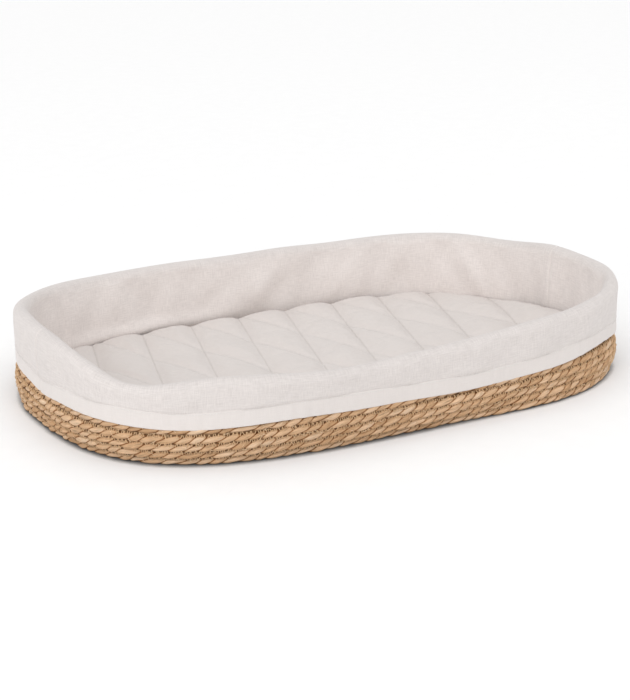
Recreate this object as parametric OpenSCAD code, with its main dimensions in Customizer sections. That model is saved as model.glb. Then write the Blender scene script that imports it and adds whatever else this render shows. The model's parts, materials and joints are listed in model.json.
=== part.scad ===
// Low oval moses basket: a coiled seagrass rope basket, a lift-off fabric liner that rolls
// over the rim, and a quilted mattress pad that rests on the coiled base.
// Units are millimetres. +X is along the basket, +Y across it, +Z up.
// The origin is the centre of the footprint, on the surface that the basket stands on.

/* [Outline] */
// Length over the liner at the rim
rim_length = 780; // [740:5:820]
// Width over the liner at the rim
rim_width = 494; // [474:2:514]
// Radius of the long sides in plan
side_radius = 1800; // [1500:50:2400]
// Radius of the ends in plan
end_radius = 560; // [480:10:640]
// Radius of the four corners in plan
corner_radius = 185; // [175:5:195]

/* [Rope] */
// Diameter of the seagrass rope
rope_d = 10.4; // [10.2:0.1:10.8]
// Height of one course, less than the rope because the courses are sewn down hard
course_h = 9.3; // [9:0.1:9.6]
// Number of courses in the wall
wall_courses = 11; // [9:1:11]
// Number of turns in the base, not counting its straight core
base_turns = 24; // [22:1:24]
// Diameter of the sewing thread
thread_d = 1.2; // [0.8:0.1:1.4]

/* [Wall shape] */
// How far the belly of the wall stands out past the liner
belly_out = 3.5; // [1:0.5:5]
// How far the lowest course is drawn in under the belly
foot_inset = 11; // [6:1:14]
// Height over which the wall curves in to the foot
foot_h = 28; // [20:2:32]
// How far the courses under the cuff sit inside the liner's outer face
cuff_rope_inset = 4.8; // [4.2:0.1:5.2]
// Height where the wall starts to step in under the cuff
step_start = 30; // [26:1:32]
// Height where the step in under the cuff ends
step_end = 58; // [54:1:60]

/* [Liner] */
// Height of the liner's rolled rim
rim_top = 108; // [106:0.5:112]
// Width of the roll that wraps the rim
roll_w = 18; // [17.5:0.5:20]
// Thickness of the liner fabric
liner_t = 1.6; // [1.2:0.1:1.8]
// Height of the cuff's lower edge
cuff_bottom = 47.2; // [47.2:0.5:52]
// Height of the elasticated hem band
hem_h = 20.6; // [15:1:24]
// Thickness of the hem band, with the elastic in it
hem_t = 2; // [1.8:0.1:2.2]
// Height of the elastic
elastic_h = 10; // [6:1:12]
// Height of the turned hem along the foot of the inner skirt
skirt_hem_h = 10; // [6:1:14]
// How far the two end seams stand behind the long axis
seam_y = 0; // [-40:1:60]

/* [Mattress] */
// Gap between the liner's outer face and the edge of the mattress
mattress_inset = 25; // [23:1:40]
// Thickness of the mattress at its middle
mattress_h = 18.4; // [14:0.2:30]
// Thickness of the mattress cover
cover_t = 1.5; // [1:0.1:2]
// Distance between the quilting lines, along the mattress
quilt_pitch = 74; // [50:1:100]
// Angle of the quilting lines from straight across
quilt_angle = 17.5; // [0:0.5:30]
// Where a crossing of the quilting lines falls along the far edge
quilt_phase = -12; // [-37:1:37]

/* [Hidden] */
play = 0.3; // clearance between bodies that lift apart
rope_flat = sqrt(rope_d * rope_d - course_h * course_h) / 2; // half the flat on top of a course
rope_side = rope_d * 0.15; // half the flat on the side of a course
rope_slope = (rope_d / 2 - rope_flat) / (course_h / 2 - rope_side); // how fast a course widens below its flat
thread_seat = rope_flat + rope_slope * thread_d / 2 + 0.02; // from a course's middle out to the wall's thread
turn_w = 9.2; // width of a base turn, which the turns beside it squeeze
turn_top_w = 6.4; // width of a base turn's top, between its threads
base_gap = 0.8; // how much further in than an even coil the base lies, to clear the wall's rope
groove_z = 6.9; // height of the groove floor between base turns
mattress_z = course_h + play;
roll_r = roll_w / 2;
roll_steps = 6; // facets over the rolled rim
skirt_z = mattress_z + play;
stitch_h = 0.3; // how far a line of stitching stands above the cloth
stitch_w = 1.4; // width of a line of stitching
elastic_t = hem_t * 0.4;

// Straight steps along each arc of an outline
end_steps = 2;
corner_steps = 8;
side_steps = 4;

// The end seams lie on planes through the end arcs' centres
seam_angle = asin(seam_y / end_radius);

// An oval is [half length, half width, side radius, end radius, corner radius].
RIM = [rim_length / 2, rim_width / 2, side_radius, end_radius, corner_radius];
// The ends of the base's straight core, either side of the middle
core_half = RIM[0] - RIM[1];

BASE_TURNS = [for (i = [1:base_turns]) numbered("base_turn", i)];
WALL_COURSES = [for (i = [1:wall_courses]) numbered("wall_course", i)];

// ---------------------------------------------------------------- names and colours

function numbered(name, i) = str(name, i < 10 ? "_0" : "_", i);
function seagrass(i) = [0.76 + 0.04 * sin(i * 97), 0.63 + 0.03 * sin(i * 53), 0.46];
LINEN = [0.89, 0.87, 0.85];
QUILT = [0.90, 0.89, 0.88];
THREAD = [0.62, 0.48, 0.30];

// ---------------------------------------------------------------- ovals

// The oval a distance d outside another
function grown(o, d) = [for (v = o) v + d];

// Where the corner arc is centred: tangent to the side arc and to the end arc
function corner_centre(o) =
    let (
        side_c = [0, o[1] - o[2]],
        end_c = [o[0] - o[3], 0],
        side_r = o[2] - o[4],
        end_r = o[3] - o[4],
        apart = norm(end_c - side_c),
        along = (side_r * side_r - end_r * end_r + apart * apart) / (2 * apart),
        aside = sqrt(side_r * side_r - along * along),
        dir = (end_c - side_c) / apart
    )
    side_c + dir * along + [dir[1], -dir[0]] * aside;

// The angle where the side arc gives way to the corner arc
function side_angle(o) =
    let (c = corner_centre(o))
    atan2(c[1] - o[1] + o[2], c[0]);

// The angle where the end arc gives way to the corner arc
function end_angle(o) =
    let (c = corner_centre(o))
    atan2(c[1], c[0] - o[0] + o[3]);

// Half an oval's arcs as [centre, radius, from, to, steps], from angle cut on the right
// over the +Y side to the same height on the left
function back_arcs(o, cut) =
    let (c = corner_centre(o), s = side_angle(o), e = end_angle(o))
    [
        [[o[0] - o[3], 0], o[3], cut, e, end_steps],
        [c, o[4], e, s, corner_steps],
        [[0, o[1] - o[2]], o[2], s, 180 - s, side_steps],
        [[-c[0], c[1]], o[4], 180 - s, 180 - e, corner_steps],
        [[o[3] - o[0], 0], o[3], 180 - e, 180 - cut, end_steps]
    ];

// Points along that half, with both ends
function back_path(o, cut) =
    let (arcs = back_arcs(o, cut))
    [for (a = arcs, i = [0:a[4] - 1]) arc_point(a, i), arc_point(arcs[4], end_steps)];
function arc_point(a, i) =
    let (t = a[2] + (a[3] - a[2]) * i / a[4])
    a[0] + a[1] * [cos(t), sin(t)];

// The other half, from the left over the -Y side to the right
function front_path(o, cut) = [for (p = reversed(back_path(o, -cut))) [p[0], -p[1]]];
function reversed(list) = [for (i = [len(list) - 1:-1:0]) list[i]];
function without_last(list) = [for (i = [0:len(list) - 2]) list[i]];

// Points all the way round an oval
function outline(o, cut = seam_angle) =
    concat(without_last(back_path(o, cut)), without_last(front_path(o, cut)));

// A flat ring between two ovals, standing on height z
module ring(outer, inner, z, h, cut = seam_angle) {
    translate([0, 0, z])
        linear_extrude(h)
            difference() {
                polygon(outline(outer, cut));
                polygon(outline(inner, cut));
            }
}

// The two triangles of each face between neighbouring rows of n points
function band(low, high, n, closed) =
    [for (i = [0:closed ? n - 1 : n - 2])
        let (j = (i + 1) % n)
        each [[low + i, high + i, high + j], [low + i, high + j, low + j]]];

// Sweeps a closed section of [distance outwards, height] round an oval
module sweep_round(o, section) {
    rows = [for (v = section) [for (p = outline(grown(o, v[0]))) [p[0], p[1], v[1]]]];
    n = len(rows[0]);
    m = len(rows);
    polyhedron([for (r = rows) each r], [for (k = [0:m - 1]) each band(k * n, (k + 1) % m * n, n, true)]);
}

// A closed solid through level ovals, each [distance from the oval, height], capped at both ends
module loft(o, levels) {
    rows = [for (v = levels) [for (p = outline(grown(o, v[0]))) [p[0], p[1], v[1]]]];
    n = len(rows[0]);
    last = len(rows) - 1;
    sides = [for (k = [0:last - 1]) each band(k * n, (k + 1) * n, n, true)];
    caps = [[for (i = [0:n - 1]) i], [for (i = [n - 1:-1:0]) last * n + i]];
    polyhedron([for (r = rows) each r], concat(sides, caps));
}

// Sweeps a strip of cloth, seen end on as two matching lines of points, along half an oval
module sweep_strip(o, cut, front, face, back) {
    section = concat(face, reversed(back));
    rows = [for (v = section)
        let (edge = grown(o, v[0]))
        [for (p = front ? front_path(edge, cut) : back_path(edge, cut)) [p[0], p[1], v[1]]]];
    n = len(rows[0]);
    m = len(rows);
    sides = [for (k = [0:m - 1]) each band(k * n, (k + 1) % m * n, n, false)];
    ends = [for (k = [0:len(face) - 2], end = [0, n - 1])
        let (quad = [k, k + 1, m - 2 - k, m - 1 - k], turned = end == 0 ? reversed(quad) : quad)
        [for (q = turned) q * n + end]];
    polyhedron([for (r = rows) each r], concat(sides, ends));
}

// ---------------------------------------------------------------- basket

function course_z(i) = (i - 0.5) * course_h;
function smooth(t) = let (c = max(0, min(1, t))) c * c * (3 - 2 * c);

// Distance of a course's centre from the liner's outer face, negative inwards
function wall_offset(z) =
    let (
        belly = belly_out - rope_d / 2,
        foot = foot_inset * pow(max(0, 1 - z / foot_h), 2),
        step = belly + cuff_rope_inset + rope_d / 2
    )
    belly - foot - step * smooth((z - step_start) / (step_end - step_start));

function course_centre(i) = [wall_offset(course_z(i)), course_z(i)];
function course_oval(i) = grown(RIM, wall_offset(course_z(i)));

// The widest oval that the coil could fill, just inside the lowest wall course
COIL = grown(course_oval(1), -base_gap);

// Where a point of that oval goes when the coil is drawn in towards its straight core
function drawn_in(p, share) =
    let (x = max(-core_half, min(core_half, p[0])))
    [x + (p[0] - x) * share, p[1] * share];

// The coil's outline where it is a distance d from the core, measured across the base
function coil_outline(d) = [for (p = outline(COIL, 0)) drawn_in(p, d / COIL[1])];
function turn_reach(k) = COIL[1] * k / (base_turns + 1);

// A flat ring of the coil, w wide about a distance d from the core
module coil_ring(d, w, z, h) {
    translate([0, 0, z])
        linear_extrude(h)
            difference() {
                polygon(coil_outline(d + w / 2));
                polygon(coil_outline(d - w / 2));
            }
}

// The rope's section, flattened where it lies on the courses above and below
function rope_section(z) =
    let (
        w = rope_d / 2,
        h = course_h / 2,
        flat = rope_flat,
        side = rope_side,
        upper = [[w, side], [flat, h], [-flat, h], [-w, side]]
    )
    [for (v = concat(upper, [for (u = reversed(upper)) [u[0], -u[1]]])) [v[0], v[1] + z]];

module wall_course(i) {
    color(seagrass(i))
        sweep_round(course_oval(i), rope_section(course_z(i)));
}

// A base turn, narrower above so that its thread lies in the groove
module base_turn(k) {
    color(seagrass(k + 40)) {
        coil_ring(turn_reach(k), turn_w, 0, groove_z);
        coil_ring(turn_reach(k), turn_top_w, groove_z, course_h - groove_z);
    }
}

module base_core() {
    color(seagrass(40)) {
        linear_extrude(groove_z)
            polygon(coil_outline(turn_w / 2));
        translate([0, 0, groove_z])
            linear_extrude(course_h - groove_z)
                polygon(coil_outline(turn_top_w / 2));
    }
}

// Thread in the outer groove between each pair of wall courses
module wall_stitching() {
    color(THREAD)
        for (i = [1:wall_courses - 1]) {
            seat = max(wall_offset(course_z(i)), wall_offset(course_z(i + 1))) + thread_seat + thread_d;
            ring(grown(RIM, seat), grown(RIM, seat - thread_d), i * course_h - thread_d / 2, thread_d);
        }
}

// Thread in the upper groove between each pair of base turns
module base_stitching() {
    color(THREAD)
        for (k = [0:base_turns - 1])
            coil_ring(turn_reach(k + 0.5), thread_d, groove_z, thread_d);
}

// ---------------------------------------------------------------- liner

// The cloth end on: up the inside of the wall, over the rim and down to the hem band.
// One line is the face that shows, the other the face towards the rope.
function liner_line(depth) =
    let (roll_z = rim_top - roll_r, r = roll_r - depth)
    concat(
        [[-roll_w + depth, skirt_z]],
        [for (i = [0:roll_steps])
            let (t = 180 - 180 * i / roll_steps)
            [-roll_r + r * cos(t), roll_z + r * sin(t)]],
        [[-depth, cuff_bottom + hem_h]]
    );

module liner_front_panel() {
    color(LINEN)
        sweep_strip(RIM, seam_angle, true, liner_line(0), liner_line(liner_t));
}

module liner_back_panel() {
    color(LINEN)
        sweep_strip(RIM, seam_angle, false, liner_line(0), liner_line(liner_t));
}

// The doubled band along the cuff's edge, hollow where the elastic runs
module liner_hem_band() {
    color(LINEN)
        difference() {
            ring(RIM, grown(RIM, -hem_t), cuff_bottom, hem_h);
            elastic();
        }
}

module elastic() {
    inset = (hem_t - elastic_t) / 2;
    ring(grown(RIM, -inset), grown(RIM, inset - hem_t), cuff_bottom + (hem_h - elastic_h) / 2, elastic_h);
}

module liner_hem_elastic() {
    color("white") elastic();
}

// The skirt's lower edge, turned up on the side that faces the mattress
module liner_skirt_hem() {
    color(LINEN)
        ring(grown(RIM, -roll_w), grown(RIM, -roll_w - liner_t), skirt_z, skirt_hem_h);
}

// The line of stitching along the top of the hem band, and the skirt hem's line
module liner_stitching() {
    color("white") {
        ring(grown(RIM, stitch_h), RIM, cuff_bottom + hem_h - stitch_w, stitch_w);
        ring(
            grown(RIM, -roll_w - liner_t),
            grown(RIM, -roll_w - liner_t - stitch_h),
            skirt_z + skirt_hem_h - 2 * stitch_w,
            stitch_w
        );
    }
}

// ---------------------------------------------------------------- mattress

PAD = grown(RIM, -mattress_inset);
pad_top = mattress_z + mattress_h;
pad_seam = mattress_z + mattress_h * 0.45;
shoulder_z = mattress_h * 0.25; // height of the rounded edge's shoulder from the seam
shoulder_in = 3; // how far the shoulder is in from the edge
crown_in = 16; // how far the flat of the top is in from the edge
foot_in = 10; // how far the flat underneath is in from the edge

UNDERSIDE = [[-foot_in, mattress_z], [-shoulder_in, pad_seam - shoulder_z], [0, pad_seam]];
TOPSIDE = [[0, pad_seam], [-shoulder_in, pad_seam + shoulder_z], [-crown_in, pad_top]];
// The same outlines one thickness of cover further in
UNDERSIDE_IN = [
    [-foot_in - cover_t, mattress_z + cover_t],
    [-shoulder_in - cover_t, pad_seam - shoulder_z + cover_t / 2],
    [-cover_t, pad_seam]
];
TOPSIDE_IN = [
    [-cover_t, pad_seam],
    [-shoulder_in - cover_t, pad_seam + shoulder_z - cover_t / 2],
    [-crown_in - cover_t, pad_top - cover_t]
];

module mattress_bottom_cover() {
    color(LINEN)
        loft(PAD, concat(UNDERSIDE_IN, reversed(UNDERSIDE)));
}

module mattress_top_cover() {
    color(QUILT)
        loft(PAD, concat(reversed(TOPSIDE_IN), TOPSIDE));
}

module mattress_wadding() {
    color("white")
        loft(PAD, concat(UNDERSIDE_IN, [TOPSIDE_IN[1], TOPSIDE_IN[2]]));
}

// Lines of stitching that cross in long diamonds over the top cover
module mattress_quilting() {
    reach = ceil(rim_length / quilt_pitch / 2) + 2;
    color("white")
        translate([0, 0, pad_top])
            intersection() {
                linear_extrude(stitch_h)
                    polygon(outline(grown(PAD, -crown_in)));
                for (i = [-reach:reach], lean = [-quilt_angle, quilt_angle])
                    translate([quilt_phase + i * quilt_pitch, PAD[1], 0])
                        rotate([0, 0, lean])
                            translate([-stitch_w / 2, -rim_width * 1.2, 0])
                                cube([stitch_w, rim_width * 1.4, stitch_h]);
            }
}

// ---------------------------------------------------------------- nodes

base_core();
for (k = [1:base_turns]) base_turn(k);
for (i = [1:wall_courses]) wall_course(i);
base_stitching();
wall_stitching();
liner_front_panel();
liner_back_panel();
liner_hem_band();
liner_hem_elastic();
liner_skirt_hem();
liner_stitching();
mattress_bottom_cover();
mattress_wadding();
mattress_top_cover();
mattress_quilting();
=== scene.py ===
import json
import math

import bpy
import numpy as np
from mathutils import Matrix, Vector
from mathutils.bvhtree import BVHTree


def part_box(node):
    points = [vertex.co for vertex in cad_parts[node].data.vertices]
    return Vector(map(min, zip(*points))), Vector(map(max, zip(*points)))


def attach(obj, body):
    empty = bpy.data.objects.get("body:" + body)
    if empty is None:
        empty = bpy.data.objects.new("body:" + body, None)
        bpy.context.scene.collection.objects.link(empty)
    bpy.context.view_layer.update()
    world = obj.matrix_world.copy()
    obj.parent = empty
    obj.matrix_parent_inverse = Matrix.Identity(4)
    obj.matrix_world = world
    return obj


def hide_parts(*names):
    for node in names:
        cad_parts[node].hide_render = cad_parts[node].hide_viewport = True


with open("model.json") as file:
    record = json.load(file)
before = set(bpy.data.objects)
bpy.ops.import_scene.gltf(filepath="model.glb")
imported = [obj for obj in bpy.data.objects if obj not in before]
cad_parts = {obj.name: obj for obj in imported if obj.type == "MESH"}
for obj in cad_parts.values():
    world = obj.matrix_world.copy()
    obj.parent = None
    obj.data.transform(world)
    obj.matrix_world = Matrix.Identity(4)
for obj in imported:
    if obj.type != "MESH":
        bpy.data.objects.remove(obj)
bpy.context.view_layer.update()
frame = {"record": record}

# Everything is in metres, in the CAD frame: +X along the basket, +Y away from the viewer, +Z up.
TAU = 2 * math.pi
UP = np.array([0.0, 0.0, 1.0])

# ---------------------------------------------------------------- sizes from the frame

NODES = [row["node"] for row in frame["record"]["subparts"]]
COURSES = [n for n in NODES if n.startswith("wall_course")]
TURNS = [n for n in NODES if n.startswith("base_turn")]


def half_size(node):
    """Half a CAD node's length and half its width."""
    low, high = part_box(node)
    return (high.x - low.x) / 2, (high.y - low.y) / 2


def heights(node):
    low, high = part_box(node)
    return low.z, high.z


RIM_LENGTH = half_size("liner_front_panel")[0]  # half the length over the liner
RIM_WIDTH = -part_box("liner_front_panel")[0].y  # half the width over the liner
SEAM_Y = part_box("liner_front_panel")[1].y  # how far behind the middle the end seams are
SKIRT_FOOT, ROLL_TOP = heights("liner_front_panel")
HEM_LOW, HEM_HIGH = heights("liner_hem_band")
COURSE_H = heights("wall_course_01")[1]
ROPE_BULGE = 0.56
ROPE_R = ROPE_BULGE * COURSE_H  # the rope bulges past its squashed height
ROLL_PAST_STITCHES = 0.018
LINER_ROLL = RIM_LENGTH - half_size("liner_stitching")[0] + ROLL_PAST_STITCHES  # depth of the rim's roll
ROLL_R = LINER_ROLL / 2
PAD_LENGTH, PAD_WIDTH = half_size("mattress_top_cover")
PAD_FOOT, PAD_SEAM = heights("mattress_bottom_cover")
PAD_TOP = heights("mattress_top_cover")[1]
CORE_HALF = half_size("base_core")[0]

# The plan is a superellipse, squarer along its long sides than at its ends.
PLAN_POWER_X = 3.39
PLAN_POWER_Y = 2.85


# ---------------------------------------------------------------- small mathematics


def smooth(t):
    """0 below 0, 1 above 1, and an S between."""
    t = np.clip(t, 0, 1)
    return t * t * (3 - 2 * t)


def bell(x, width):
    return np.exp(-((x / width) ** 2))


def shorter_way(turn):
    """A difference between two places round the rim, taken the shorter way, between -0.5 and 0.5."""
    return (turn + 0.5) % 1.0 - 0.5


def level(x, y):
    """Rows of (x, y, 0)."""
    return np.stack([x, y, 0 * x], axis=1)


def lengths_to(steps):
    """How far along each point of a line is, from the steps between its points."""
    return np.concatenate([[0], np.cumsum(steps)])


def waves(u, waviness, count, seed, v=0.0, lean=(0, 0)):
    """A smooth random field that repeats when u goes round once. waviness is (least, most) waves round the
    basket. v is any other length in metres, and lean (least, most) radians that a metre of it adds."""
    rng = np.random.default_rng(seed)
    field = np.zeros(np.broadcast(u, v).shape)
    for _ in range(count):
        k = int(rng.integers(waviness[0], waviness[1] + 1))
        slope = rng.uniform(lean[0], lean[1]) * rng.choice((-1, 1))
        field += np.cos(TAU * k * u + slope * v + rng.uniform(0, TAU))
    return field * math.sqrt(2.0 / count)


class Plan:
    """The rim's outline seen from above, with u going round once, anticlockwise from the right-hand seam."""

    def __init__(self, length, width, samples=6000):
        t = np.linspace(0, TAU, samples, endpoint=False)
        x = length * np.sign(np.cos(t)) * np.abs(np.cos(t)) ** (2 / PLAN_POWER_X)
        y = width * np.sign(np.sin(t)) * np.abs(np.sin(t)) ** (2 / PLAN_POWER_Y)
        start = int(np.argmin(np.abs(y - SEAM_Y) + (x < 0) * length))
        x, y = np.roll(x, -start), np.roll(y, -start)
        x, y = np.append(x, x[0]), np.append(y, y[0])
        step = np.hypot(np.diff(x), np.diff(y))
        run = lengths_to(step)
        self.around = run[-1]
        even = np.linspace(0, self.around, samples + 1)
        self.u = even / self.around
        self.x = np.interp(even, run, x)
        self.y = np.interp(even, run, y)
        dx = np.gradient(self.x)
        dy = np.gradient(self.y)
        dx[0] = dx[-1] = self.x[1] - self.x[-2]
        dy[0] = dy[-1] = self.y[1] - self.y[-2]
        self.nx = dy / np.hypot(dx, dy)
        self.ny = -dx / np.hypot(dx, dy)

    def at(self, u, out=0.0):
        """Points at u, moved out metres outwards, with the outward direction."""
        u = np.mod(u, 1.0)
        nx = np.interp(u, self.u, self.nx)
        ny = np.interp(u, self.u, self.ny)
        x = np.interp(u, self.u, self.x) + out * nx
        y = np.interp(u, self.u, self.y) + out * ny
        return x, y, nx, ny


RIM = Plan(RIM_LENGTH, RIM_WIDTH)
LEFT_SEAM = float(RIM.u[int(np.argmin(np.abs(RIM.y - SEAM_Y) + (RIM.x > 0) * RIM_LENGTH))])


def bumps(u, *bells):
    """The sum of bells round the rim, each (middle, half width, height), in shares of the way round."""
    return sum(height * bell(shorter_way(u - middle), width) for middle, width, height in bells)


END_RISE_LEFT = 0.0124
END_RISE_RIGHT = 0.0150
END_RISE_POWER = 6  # how late along the sides the ends' rise begins
RIM_UNEVEN = 0.0006
MOST_RISE = 0.0117  # the rim never rises further than this above the CAD rim
MOST_RISE_SOFT = 0.0006  # how gently it levels off there
SIDE_DROP = 0.0025  # the rim's sides are a little lower than the CAD rim
FRONT_LEFT_SAG = (0.576, 0.034, -0.0210)
FRONT_SAG = (0.699, 0.075, -0.0115)
FRONT_RIGHT_RISE = (0.904, 0.075, 0.0065)
BACK_RIGHT_SAG = (0.049, 0.036, -0.0105)
BACK_SAG = (0.184, 0.030, -0.0026)
FIRM_BELOW = 0.044  # the wall doesn't sag or rise with the rim below this height
GIVES_OVER = 0.058  # and it moves with the rim in full this much higher
FOOT_SPREADS = ((0.845, 0.047, 0.0150), (0.489, 0.045, 0.0090))  # at the front right and at the left end
FOOT_H = 0.028  # how high up the wall the foot's spread reaches


def rim_shift(u):
    """How far the hand-made rim is above the CAD rim. Both ends rise, and the front left corner sags."""
    x, y, _, _ = RIM.at(u)
    rise = np.where(x < 0, END_RISE_LEFT, END_RISE_RIGHT) * np.abs(x / RIM_LENGTH) ** END_RISE_POWER
    sag = bumps(u, FRONT_LEFT_SAG, FRONT_SAG, FRONT_RIGHT_RISE, BACK_RIGHT_SAG, BACK_SAG)
    shift = rise + sag - SIDE_DROP + RIM_UNEVEN * waves(u, (4, 16), 6, 31)
    over = (shift - MOST_RISE) / MOST_RISE_SOFT
    return MOST_RISE - MOST_RISE_SOFT * np.logaddexp(0.0, -over)


def settled(u, z):
    """A height in the wall, moved with the rim. The courses below the cuff stay where they are."""
    return z + rim_shift(u) * smooth((z - FIRM_BELOW) / GIVES_OVER)


def foot_out(u, z):
    """How much further out the wall's foot is than the CAD foot."""
    return bumps(u, *FOOT_SPREADS) * np.clip(1 - z / FOOT_H, 0, 1) ** 2


# ---------------------------------------------------------------- meshes


def add_mesh(name, verts, quads, uv=None, floats=None, material=None):
    """A smooth mesh from arrays. uv has a row for each corner of each quad, and each of floats has a value
    for each vertex."""
    mesh = bpy.data.meshes.new(name)
    verts = np.ascontiguousarray(verts, dtype=np.float32)
    quads = np.ascontiguousarray(quads, dtype=np.int32)
    mesh.vertices.add(len(verts))
    mesh.vertices.foreach_set("co", verts.ravel())
    mesh.loops.add(quads.size)
    mesh.loops.foreach_set("vertex_index", quads.ravel())
    mesh.polygons.add(len(quads))
    mesh.polygons.foreach_set("loop_start", np.arange(0, quads.size, 4, dtype=np.int32))
    mesh.polygons.foreach_set("use_smooth", np.ones(len(quads), dtype=bool))
    mesh.update(calc_edges=True)
    if uv is not None:
        layer = mesh.uv_layers.new(name="cloth")
        layer.data.foreach_set("uv", np.ascontiguousarray(uv, dtype=np.float32).ravel())
    for key, values in (floats or {}).items():
        attribute = mesh.attributes.new(key, "FLOAT", "POINT")
        attribute.data.foreach_set("value", np.ascontiguousarray(values, dtype=np.float32))
    obj = bpy.data.objects.new(name, mesh)
    bpy.context.scene.collection.objects.link(obj)
    if material is not None:
        mesh.materials.append(material)
    return obj


def grid_quads(rows, columns, wrap_rows, wrap_columns):
    """Quads over a grid of vertices, numbered row by row, that may close on itself either way."""
    r = np.arange(rows if wrap_rows else rows - 1)[:, None]
    c = np.arange(columns if wrap_columns else columns - 1)[None, :]
    r2, c2 = (r + 1) % rows, (c + 1) % columns
    corners = [r * columns + c, r2 * columns + c, r2 * columns + c2, r * columns + c2]
    return np.stack(np.broadcast_arrays(*corners), axis=-1).reshape(-1, 4)


def corner_uv(u_edge, v_edge):
    """Texture coordinates for grid_quads, from values at the grid's lines that don't wrap."""
    u = np.stack([u_edge[:-1, :-1], u_edge[1:, :-1], u_edge[1:, 1:], u_edge[:-1, 1:]], axis=-1)
    v = np.stack([v_edge[:-1, :-1], v_edge[1:, :-1], v_edge[1:, 1:], v_edge[:-1, 1:]], axis=-1)
    return np.stack([u, v], axis=-1).reshape(-1, 2)


def cloth_uv(around, along):
    """corner_uv for a band of cloth: metres round the basket by metres along its section."""
    return corner_uv(*np.broadcast_arrays(around[:, None], along[None, :]))


def finish_piece(obj, body, slot, *replaced):
    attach(obj, body)
    if replaced:
        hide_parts(*replaced)
    return obj


# ---------------------------------------------------------------- materials


class Shader:
    """A material's node tree, with short calls for the nodes that the recipes below use."""

    def __init__(self, name):
        self.material = bpy.data.materials.new(name)
        self.material.use_nodes = True
        self.tree = self.material.node_tree
        self.bsdf = self.tree.nodes["Principled BSDF"]

    def put(self, socket, value):
        if isinstance(value, bpy.types.NodeSocket):
            self.tree.links.new(value, socket)
        else:
            socket.default_value = value

    def node(self, kind, **inputs):
        made = self.tree.nodes.new(kind)
        for key, value in inputs.items():
            self.put(made.inputs[key.replace("_", " ")], value)
        return made

    def scaled(self, vector, scale):
        return self.node("ShaderNodeMapping", Vector=vector, Scale=scale).outputs["Vector"]

    def uv(self, scale):
        coordinate = self.node("ShaderNodeUVMap")
        coordinate.uv_map = "cloth"
        return self.scaled(coordinate.outputs["UV"], scale)

    def place(self, scale):
        return self.scaled(self.node("ShaderNodeTexCoord").outputs["Object"], scale)

    def value(self, name):
        made = self.node("ShaderNodeAttribute")
        made.attribute_name = name
        return made.outputs["Fac"]

    def noise(self, vector, scale=1.0, detail=2.0, roughness=0.5, distortion=0.0):
        strength = {"Detail": detail, "Roughness": roughness, "Distortion": distortion}
        return self.node("ShaderNodeTexNoise", Vector=vector, Scale=scale, **strength).outputs["Fac"]

    def ramp(self, factor, *stops):
        made = self.node("ShaderNodeValToRGB", Fac=factor)
        elements = made.color_ramp.elements
        while len(elements) < len(stops):
            elements.new(0.5)
        for element, (place, colour) in zip(elements, stops):
            element.position = place
            element.color = (*colour, 1) if hasattr(colour, "__len__") else (colour, colour, colour, 1)
        return made.outputs["Color"]

    def shade(self, amount, colour, by):
        """The colour multiplied by another, as strongly as amount says."""
        made = self.node("ShaderNodeMix")
        made.data_type = "RGBA"
        made.blend_type = "MULTIPLY"
        for index, value in ((0, amount), (6, colour), (7, by)):
            self.put(made.inputs[index], value)
        return made.outputs[2]

    def maths(self, operation, *values):
        made = self.node("ShaderNodeMath")
        made.operation = operation
        for socket, value in zip(made.inputs, values):
            self.put(socket, value)
        return made.outputs["Value"]

    def bump(self, height, strength, distance, normal=None):
        made = self.node("ShaderNodeBump", Height=height, Strength=strength, Distance=distance)
        if normal is not None:
            self.tree.links.new(normal, made.inputs["Normal"])
        return made.outputs["Normal"]

    def finish(self, colour, normal, roughness, sheen=0.0, specular=0.3):
        self.put(self.bsdf.inputs["Base Color"], colour)
        if normal is not None:
            self.put(self.bsdf.inputs["Normal"], normal)
        self.put(self.bsdf.inputs["Roughness"], roughness)
        self.put(self.bsdf.inputs["Sheen Weight"], sheen)
        self.put(self.bsdf.inputs["Sheen Roughness"], 0.5)
        self.put(self.bsdf.inputs["Specular IOR Level"], specular)
        return self.material


# Dry seagrass, from its darkest blades to its palest.
SEAGRASS_TONES = (
    (0.20, (0.530, 0.308, 0.158)),
    (0.42, (0.690, 0.436, 0.250)),
    (0.66, (0.795, 0.540, 0.342)),
    (0.92, (0.880, 0.672, 0.480)),
)
# Painted shade: what multiplies it from the bottom of a valley between two lobes to the top of a lobe.
VALLEY_PAINTED_SHADE = (
    (0.00, (0.22, 0.12, 0.055)),
    (0.12, (0.56, 0.42, 0.30)),
    (0.26, (0.95, 0.93, 0.90)),
    (0.40, 1.0),
)
FOLD_TONES = ((0.30, 0.42), (0.42, 0.85), (0.60, 1.0), (0.75, 1.12))
BLADE_TONES = ((0.30, 0.55), (0.55, 0.97), (0.75, 1.12))
FIBRE_TONES = ((0.35, 0.62), (0.65, 1.10))


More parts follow.
